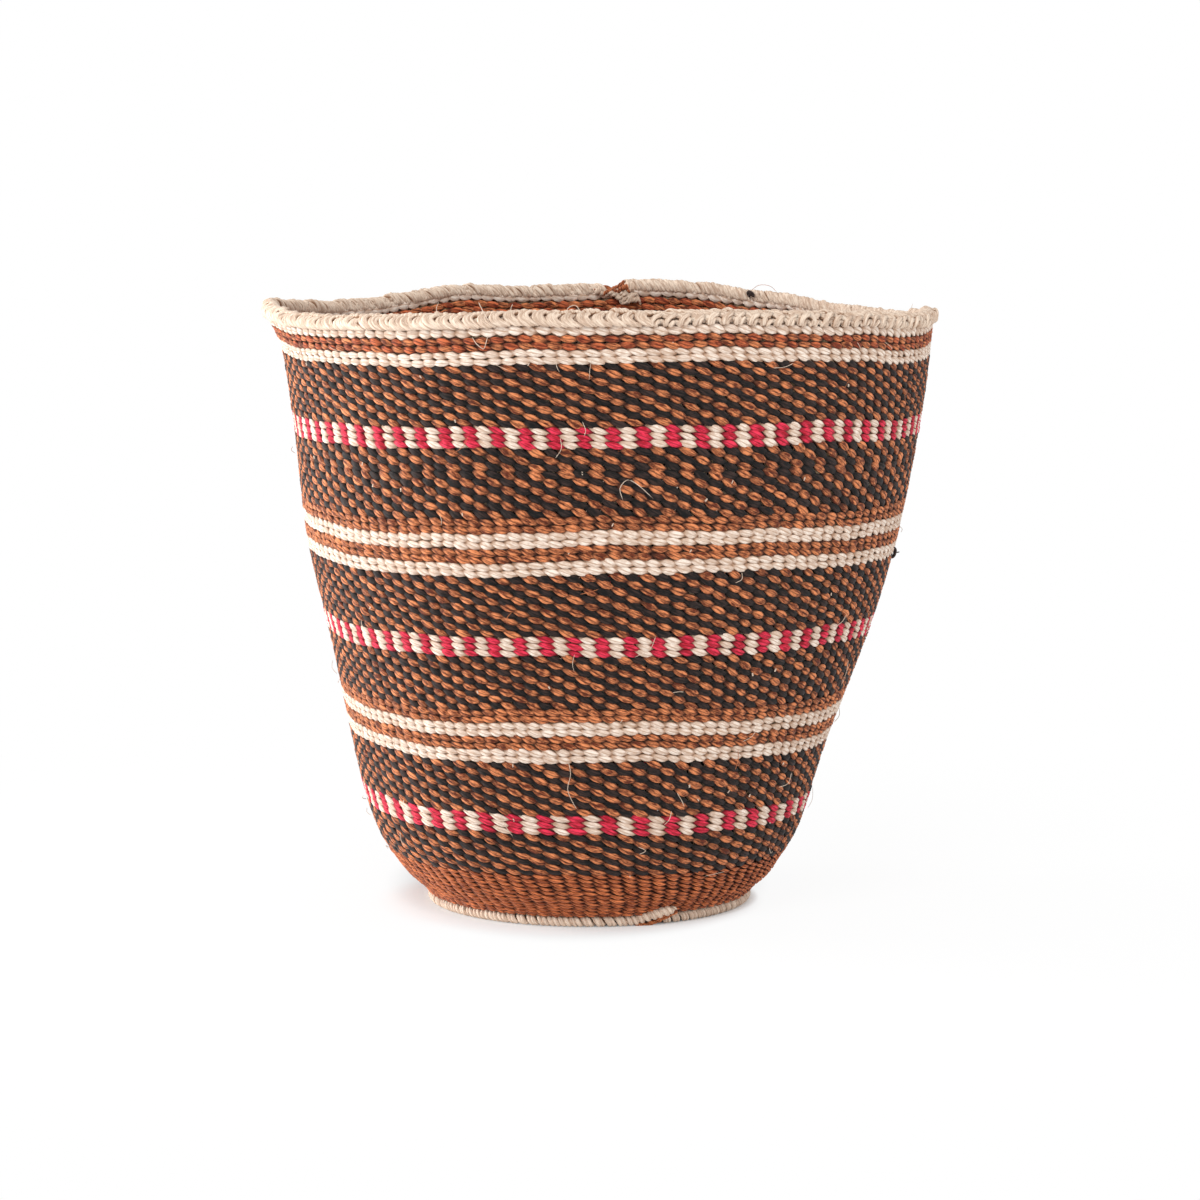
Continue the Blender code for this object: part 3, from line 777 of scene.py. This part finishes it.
def rim_plies(loop, turns, stations=14):
    """Plies that all follow one loop, side by side, at each turn about the rim."""
    table, plies, radius = loop
    meshes = []
    shared = 0.001 * random.standard_normal((len(turns), 1, 3)) * LOOP_WANDER
    for along, out in plies:
        mesh, share, angle = yarns(8, stations, len(turns))
        slack = random.standard_normal((3, len(turns), 1))
        wander = shared + 0.001 * random.standard_normal((len(turns), 1, 3)) * PLY_WANDER

        def path(share):
            place = curve(table, share) + np.sin(math.pi * share)[:, None] * wander
            place[..., 0] += 0.001 * along
            place[..., 2] += 0.001 * out
            return place

        full = 0.001 * radius * (1 + PLY_SIZE_SPREAD * slack[0])
        full = full * tapered(share, PLY_LENGTH, 0.001 * radius)
        local = along_path(path, share, angle, full)
        turn = turns[:, None] + local[..., 0] / MOUTH_RADIUS
        flare = LEFT_FLARE * near(np.degrees(turn), LEFT_DEGREES, LEFT_REACH) * np.sin(math.pi * share)
        length = wall_length + local[..., 1] + FLARE_RISE * flare - dip_at(turn)
        places = fabric(turn, length, -local[..., 2] - FLARE_OUT * flare)
        # Painted shade: a ply's sides are darker the nearer they lie to the braid's core
        rise = np.array([CORE_RISE, -BRAID_DEPTH])
        painted_shade = (np.linalg.norm(local[..., 1:] - rise, axis=-1)
                - np.linalg.norm(path(share)[..., 1:] - rise, axis=-1))
        lay = in_ply(share * PLY_LENGTH, angle, RIM_SHADE * (painted_shade - 0.001 * radius))
        mark = np.broadcast_arrays(1.0, PLY_TONE_SPREAD * slack[1], np.abs(slack[2]) + 0 * share)
        mark = np.stack(mark, -1)
        meshes.append(put(mesh, places, lay, mark))
    return meshes


rim_count = columns_at(wall_length)
knot_turn = math.radians(RIM_KNOT_DEGREES)
rim_turns = warp_turn(np.arange(rim_count), rim_count, np.full(rim_count, wall_length))
from_knot = (rim_turns - knot_turn + math.pi) % (2 * math.pi) - math.pi
rim_turns = rim_turns[np.abs(from_knot) * MOUTH_RADIUS > RIM_KNOT_LENGTH / 2 + 0.001]
arched = np.cos(rim_turns) > ARCHED_FROM
rim_meshes = rim_plies(INSIDE_LOOP, rim_turns, 10) + rim_plies(CLOSE_LOOP, rim_turns[~arched], 16)
for arch in (ARCH_LOOP, SMALL_ARCH_LOOP, TOP_LOOP):
    rim_meshes += rim_plies(arch, rim_turns[arched])
mesh, share, angle = yarns(8, 240, 1)
around = 2 * math.pi - RIM_KNOT_LENGTH / MOUTH_RADIUS
radius = CORE_RADIUS * tapered(share, around * MOUTH_RADIUS, CORE_RADIUS)
turn = knot_turn + RIM_KNOT_LENGTH / MOUTH_RADIUS / 2 + around * share
places = fabric(turn, wall_length + CORE_RISE - dip_at(turn) + radius * np.cos(angle),
                BRAID_DEPTH + radius * np.sin(angle))
rim_meshes.append(put(mesh, places[None], in_ply(turn * MOUTH_RADIUS, 0, CORE_PAINTED_SHADE), (1, 0, 0.7)))
rim = joined("rim_braid_loops", rim_meshes)
dress(rim, finishes["cream"], "cream_sisal", "rim_braid")

# The rim knot
# Where the braid's two ends meet at the back: brown yarn drawn through them and knotted, a pale tuft of
# the last warp ends, and a tangle of fibres that hangs from them on the inside.
# Each yarn has its dye, its thickness beside a ply's, and points as the rim's loops have.
KNOT_PLY = 0.00062
KNOT_OFFSET = 0.00045
KNOT_HALF_LAYS = 5
KNOT_PAINTED_SHADE = 0.8
KNOT_YARNS = (
    (1, 1.25, ((0.0, 9.0, 3.0, -4.2), (0.25, 5.6, 4.0, -3.2), (0.5, 1.2, 2.4, -3.0),
               (0.75, -2.0, 3.4, -3.2), (1.0, -4.2, 5.4, -3.6))),
    (1, 1.10, ((0.0, 7.6, 3.6, -2.0), (0.3, 3.4, 2.6, -2.0), (0.6, -0.6, 2.2, -2.2),
               (1.0, -5.0, 3.2, -3.6))),
    (1, 1.20, ((0.0, 2.4, 0.4, -1.0), (0.3, 1.0, 2.4, -1.0), (0.6, -1.4, 3.2, -3.0),
               (1.0, -3.4, 0.6, -5.4))),
    (1, 1.20, ((0.0, -6.6, 0.6, -5.2), (0.35, -5.2, 2.6, -5.5), (0.7, -3.2, 2.2, -5.6),
               (1.0, -1.2, 0.2, -5.2))),
    (1, 1.10, ((0.0, 4.6, 0.6, -4.6), (0.4, 2.4, 1.6, -5.0), (0.7, 0.2, 1.4, -5.2),
               (1.0, -2.4, 0.2, -5.0))),
    (0, 1.90, ((0.0, 6.4, 1.2, -1.8), (0.5, 0.0, 0.9, -1.6), (1.0, -6.4, 1.2, -1.8))),
    (0, 1.90, ((0.0, 6.4, 1.2, -3.8), (0.5, 0.0, 0.7, -3.8), (1.0, -6.4, 1.2, -3.8))),
    (0, 1.50, ((0.0, 8.0, 1.4, -4.9), (0.4, 6.0, 2.8, -4.4), (0.7, 5.2, 3.4, -2.8), (1.0, 6.0, 2.2, -0.2))),
    (0, 1.60, ((0.0, -8.2, 1.6, -4.9), (0.35, -6.2, 3.4, -4.6), (0.7, -5.6, 4.4, -2.9),
               (1.0, -6.4, 3.2, -0.2))),
    (0, 1.50, ((0.0, -6.8, 1.0, -5.0), (0.4, -5.2, 2.8, -4.6), (0.75, -4.8, 3.4, -2.4),
               (1.0, -5.4, 1.6, -0.2))),
    (0, 1.30, ((0.0, 2.6, 1.2, -4.8), (0.3, -0.4, -0.2, -5.9), (0.6, -3.4, -2.4, -6.2),
               (1.0, -7.4, -2.0, -5.6))),
    (0, 1.20, ((0.0, -2.0, 0.2, -4.8), (0.3, -5.0, -0.6, -6.6), (0.6, -7.6, -2.8, -6.4),
               (1.0, -10.6, -2.6, -5.6))),
    (0, 1.00, ((0.0, -7.8, 0.2, -5.2), (0.4, -5.8, -2.8, -6.6), (0.7, -9.2, -0.8, -6.4),
               (1.0, -11.4, -4.6, -5.7))),
    (0, 0.80, ((0.0, -3.8, -0.4, -6.0), (0.3, -2.6, -3.4, -6.6), (0.6, -6.2, -3.6, -6.8),
               (1.0, -8.6, -0.4, -6.0))),
)
knot_meshes = []
for dye, thickness, table in KNOT_YARNS:
    for side in (0, 1):
        mesh, share, angle = yarns(8, 20, 1)
        offset = KNOT_OFFSET * thickness

        def path(share):
            winding = (KNOT_HALF_LAYS * share + side) * math.pi
            place = curve(table, share)
            place[..., 1] += offset * np.cos(winding)
            place[..., 2] += offset * np.sin(winding)
            return place

        full = KNOT_PLY * thickness * tapered(share, PLY_LENGTH, 0.001)
        local = along_path(path, share, angle, full)
        places = fabric(knot_turn + local[..., 0] / MOUTH_RADIUS, wall_length + local[..., 1],
                        -local[..., 2])
        # Painted shade towards each yarn's thin ends
        lay = in_ply(share * PLY_LENGTH, angle, KNOT_PAINTED_SHADE * (full - 0.0006 * thickness))
        knot_meshes.append(put(mesh, places[None], lay, (dye, -0.2, 0.3 + side)))
knot = joined("rim_knot_yarns", knot_meshes)
finishes["knot"] = sisal("knot_sisal", rim_yarn, brown_yarn)
dress(knot, finishes["knot"], "brown_sisal", "rim_knot")

# The loose ends and fibres
# Two black yarn ends that were left standing, at the back of the rim and at the right edge, bits of the
# pale warps that show between stitches, and long fibres that came out of the yarns.
# Each has its dye, its radius in millimetres, and points: degrees about the basket, then millimetres up
# the outer face from the corner and out from it.
LOOSE_ENDS = (
    (1, 0.70, ((60.8, 229.8, -4.4), (60.4, 231.2, -6.0), (59.6, 231.0, -6.3), (59.2, 229.8, -5.6))),
    (1, 0.60, ((60.4, 229.4, -5.2), (59.8, 230.4, -6.3), (59.0, 229.6, -6.0))),
    (1, 0.66, ((-6.8, 141.4, -0.7), (-6.4, 140.4, 0.3), (-6.2, 138.6, 0.4), (-6.0, 137.4, -0.2))),
    (1, 0.62, ((-6.0, 140.6, -0.7), (-5.6, 139.4, 0.4), (-5.4, 138.2, 0.3), (-5.4, 137.0, -0.5))),
    (1, 0.22, ((-6.2, 139.4, 0.0), (-5.8, 139.7, 1.2), (-5.4, 140.0, 2.1))),
)
PLACED_FIBRES = (
    (0, 0.13, ((-86.9, 165.5, 0.8), (-87.6, 170.0, 2.2), (-86.4, 173.2, 3.0), (-84.4, 171.0, 2.4),
               (-81.6, 166.0, 0.8))),
    (0, 0.11, ((-97.9, 187.5, 0.6), (-97.6, 184.0, 2.0), (-98.6, 180.5, 1.6))),
    (0, 0.11, ((-94.2, 193.5, 0.6), (-93.6, 190.5, 1.8), (-93.9, 188.0, 0.8))),
    (0, 0.14, ((-108.6, 229.5, 0.9), (-109.6, 233.0, 0.6), (-110.6, 236.5, -0.6))),
    (0, 0.10, ((-117.2, 231.0, 0.6), (-117.8, 234.5, 0.8), (-117.4, 237.0, 0.2))),
    (0, 0.13, ((-104.9, 231.5, 0.2), (-105.0, 233.5, 0.6), (-104.7, 235.2, 0.3))),
    (0, 0.14, ((-96.2, 230.5, 1.0), (-95.8, 234.0, 1.4), (-94.6, 235.0, 1.2), (-93.8, 232.5, 1.3),
               (-93.6, 230.0, 1.0))),
    (0, 0.14, ((-111.8, 225.0, 0.9), (-111.0, 222.6, 1.8), (-110.0, 220.6, 1.2), (-109.4, 222.4, 1.8),
               (-109.0, 225.2, 0.9))),
    (0, 0.10, ((-98.2, 216.0, 0.8), (-98.0, 213.5, 1.8), (-97.7, 211.5, 0.8))),
    (0, 0.12, ((-94.4, 69.0, 0.8), (-93.6, 64.0, 1.7), (-94.1, 58.5, 1.8), (-93.0, 53.5, 1.6),
               (-91.8, 49.5, 0.8))),
    (1, 0.09, ((60.2, 231.4, -5.6), (58.4, 234.4, -5.2), (56.0, 234.6, -5.0), (54.2, 232.4, -5.2))),
)
# The scattered ones: fibres outside, fibres inside under the rim, and bits of warp. Lengths are in
# millimetres, and a face is how far out from the outer face a strand starts.
FIBRES = 80
FIBRE_HEIGHTS = (6, 224)
FIBRE_REACHES = (3, 11)
FIBRE_BOW = 1.2
FIBRE_RADII = (0.08, 0.13)
FIBRE_FACE = 0.6
FIBRE_LIFTS = (0.5, 1.6)
FIBRE_LENGTH = 0.010
BROWN_SHARE = 0.3
INSIDE_FIBRES = 24
INSIDE_HEIGHTS = (195, 226)
INSIDE_FACE = -5.0
WARP_BITS = 100
BIT_COURSES = (50, 130)
BIT_REACH = 1.3
BIT_FACES = (-0.6, 0.0)
BIT_RADII = (0.18, 0.34)


def strand(dye, radius, points):
    """One end or fibre, along a smooth curve through its points."""
    points = np.array(points, float) * (math.pi / 180, 0.001, 0.001)
    mesh, share, angle = yarns(5, 12, 1)
    shares = np.linspace(0, 1, len(points))
    scale = float(radius_at(points[0, 1]))

    def path(share):
        turn, length, out = (through(np.stack([shares, points[:, axis]], 1), share) for axis in range(3))
        return np.stack([turn * scale, length, out], -1)

    local = along_path(path, share, angle, 0.001 * radius * tapered(share, FIBRE_LENGTH, 0.001))
    places = fabric(local[..., 0] / scale, local[..., 1], -local[..., 2])
    lay = in_ply(share * PLY_LENGTH, angle, 0.0)
    return put(mesh, places[None], lay, (dye, 0.2, 0.3 + 10 * abs(points[0, 0])))


ends = joined("loose_black_ends", [strand(*end) for end in LOOSE_ENDS])
dress(ends, finishes["tweed"], "tweed_sisal")

fibre_meshes = [strand(*fibre) for fibre in PLACED_FIBRES]
for number in range(FIBRES + INSIDE_FIBRES + WARP_BITS):
    turn, length = random.uniform(-180, 180), random.uniform(*FIBRE_HEIGHTS)
    course, reach = random.uniform(-180, 180), random.uniform(*FIBRE_REACHES)
    bow, radius = random.normal(0, FIBRE_BOW), random.uniform(*FIBRE_RADII)
    face, dye = FIBRE_FACE, int(random.random() < BROWN_SHARE)
    is_bit = number >= FIBRES + INSIDE_FIBRES
    if is_bit:
        course, reach, bow = random.uniform(*BIT_COURSES), BIT_REACH, 0.0
        face, radius, dye = random.uniform(*BIT_FACES), random.uniform(*BIT_RADII), 0
    elif number >= FIBRES:
        length, face = random.uniform(*INSIDE_HEIGHTS), INSIDE_FACE
    degrees_a_millimetre = math.degrees(0.001 / float(radius_at(0.001 * length)))
    away = np.array([math.cos(math.radians(course)) * degrees_a_millimetre, math.sin(math.radians(course))])
    bowed = bow * np.array([-away[1], away[0]]) * (degrees_a_millimetre, 1)
    lift = random.uniform(*FIBRE_LIFTS) * (not is_bit) * (1 if face > 0 else -1)
    foot = np.array([turn, length])
    fibre_meshes.append(strand(dye, radius, ((*foot, face), (*(foot + away * reach / 2 + bowed), face + lift),
                                             (*(foot + away * reach), face + 0.5 * lift))))
fibres = joined("loose_fibres", fibre_meshes)
dress(fibres, finishes["knot"], "cream_sisal")

# The floor, the light and the camera
# A white sweep that glows for the camera, keeps part of the basket's real shadow and has a painted shadow
# at its front left, with broad studio light from above and from the left, and a long lens a little above the
# rim.
FLOOR_SIZE = 6
FLOOR_COLOUR = (0.95, 0.95, 0.95, 1)
WHITE = (1, 1, 1, 1)
# Rings on the floor, each from where it starts to where it ends: what the basket covers, its contact
# shade, the light further off, and the painted shadow at the front left
COVERED_RING = (0.056, 0.061)
CONTACT_RING = (0.060, 0.076)
CONTACT_SHIFT = (0.0125, 0.007, 0)
CONTACT_GLOW = 0.45
FLOOR_GLOW = 0.93
FAR_RING = (0.10, 0.45)
SHADE_RING = (0.053, 0.077)
SHADE_SHIFT = (0.009, -0.021, 0)
SHADE_STRETCH = (1, 0.6, 1)
SHADE_TINT = (0.66, 0.66, 0.66, 1)
SKY_LIGHT = 0.68
LAMP_SIZE = 0.8
LAMP_AIM = (0, 0, 0.12)
LAMPS = (("key", (-0.35, -1.3, 1.4), 15.4), ("side", (-1.5, 0.35, 0.25), 32), ("fill", (1.5, -0.5, 0.5), 4))
# The photograph's width, and the metres that one of its pixels spans at the middle of the basket
PHOTO_PIXELS = 1200
PIXEL = 0.000379
LENS_PIXELS = 3600
DROP_PIXELS = 400
SENSOR = 36
EYE_HEIGHT = 0.2660

floor_shape = bmesh.new()
bmesh.ops.create_grid(floor_shape, x_segments=1, y_segments=1, size=FLOOR_SIZE)
floor_mesh = bpy.data.meshes.new("floor")
floor_shape.to_mesh(floor_mesh)
floor_shape.free()
floor = bpy.data.objects.new("floor", floor_mesh)
bpy.context.scene.collection.objects.link(floor)
floor_finish = Finish(bpy.data.materials.new("floor"))
floor_finish.shader.inputs["Base Color"].default_value = FLOOR_COLOUR
floor_finish.shader.inputs["Roughness"].default_value = 1.0
floor_finish.shader.inputs["Specular IOR Level"].default_value = 0.0


def seen_straight(finish):
    """1 for the rays that show the backdrop itself, and 0 for those that only carry its light."""
    ray = finish.node("ShaderNodeLightPath", {}, {}, "Is Camera Ray")
    straight = ray + ray.of("Is Glossy Ray") + ray.of("Is Transmission Ray")
    return finish.node("ShaderNodeClamp", {}, {0: straight})


def distance(shift=(0, 0, 0), stretch=(1, 1, 1)):
    """How far each place of the floor is from its middle, once it is stretched and shifted."""
    place = floor_finish.node("ShaderNodeTexCoord", {}, {}, "Object")
    moved = floor_finish.node("ShaderNodeVectorMath", {"operation": "MULTIPLY_ADD"},
                              {0: place, 1: stretch, 2: shift})
    return floor_finish.node("ShaderNodeVectorMath", {"operation": "LENGTH"}, {0: moved}, "Value")


# The floor is white away from the basket, keeps part of its real shadow at the front left, has a painted
# shadow there too, and is dark under it
uncovered = floor_finish.ramp(distance(), *COVERED_RING, 0.0, 1.0, "LINEAR")
contact_glow = floor_finish.ramp(distance(CONTACT_SHIFT), *CONTACT_RING, CONTACT_GLOW, FLOOR_GLOW)
far_glow = floor_finish.ramp(distance(), *FAR_RING, 0.0, 1 - FLOOR_GLOW)
# Painted shadow: the floor's glow is tinted grey in a ring at the front left of the foot
clear_of_painted_shadow = floor_finish.ramp(distance(SHADE_SHIFT, SHADE_STRETCH), *SHADE_RING, 0.0, 1.0)
painted_shadow_tint = floor_finish.mix(clear_of_painted_shadow, SHADE_TINT, WHITE)
glow_with_painted_shadow = floor_finish.node("ShaderNodeEmission", {}, {"Color": painted_shadow_tint, "Strength": 1.0})
surface = Socket(floor_finish, floor_finish.shader.outputs[0])
glow = seen_straight(floor_finish) * uncovered * (contact_glow + far_glow)
blended = floor_finish.node("ShaderNodeMixShader", {}, {0: glow, 1: surface, 2: glow_with_painted_shadow})
floor_finish.feed(floor_finish.tree.nodes["Material Output"].inputs["Surface"], blended)
floor_mesh.materials.append(floor_finish.material)

world = bpy.data.worlds.new("studio")
bpy.context.scene.world = world
sky = Finish(world, "Background")
sky.shader.inputs["Color"].default_value = WHITE
sky.shader.inputs["Strength"].default_value = SKY_LIGHT
white = sky.node("ShaderNodeBackground", {}, {"Color": WHITE, "Strength": 1.0})
chosen = sky.node("ShaderNodeMixShader", {},
                  {0: seen_straight(sky), 1: Socket(sky, sky.shader.outputs[0]), 2: white})
sky.feed(sky.tree.nodes["World Output"].inputs["Surface"], chosen)

for name, place, power in LAMPS:
    light = bpy.data.lights.new(name, "AREA")
    light.shape = "DISK"
    light.size = LAMP_SIZE
    light.energy = power
    lamp = bpy.data.objects.new(name, light)
    bpy.context.scene.collection.objects.link(lamp)
    lamp.location = place
    lamp.rotation_euler = (Vector(LAMP_AIM) - lamp.location).to_track_quat("-Z", "Y").to_euler()

camera_data = bpy.data.cameras.new("camera")
camera_data.sensor_width = SENSOR
camera_data.lens = SENSOR * LENS_PIXELS / PHOTO_PIXELS
camera = bpy.data.objects.new("camera", camera_data)
bpy.context.scene.collection.objects.link(camera)
camera.location = (0, -LENS_PIXELS * PIXEL, EYE_HEIGHT)
camera.rotation_euler = (math.pi / 2 - math.atan(DROP_PIXELS / LENS_PIXELS), 0, 0)
bpy.context.scene.camera = camera
bpy.context.scene.view_settings.view_transform = "Standard"
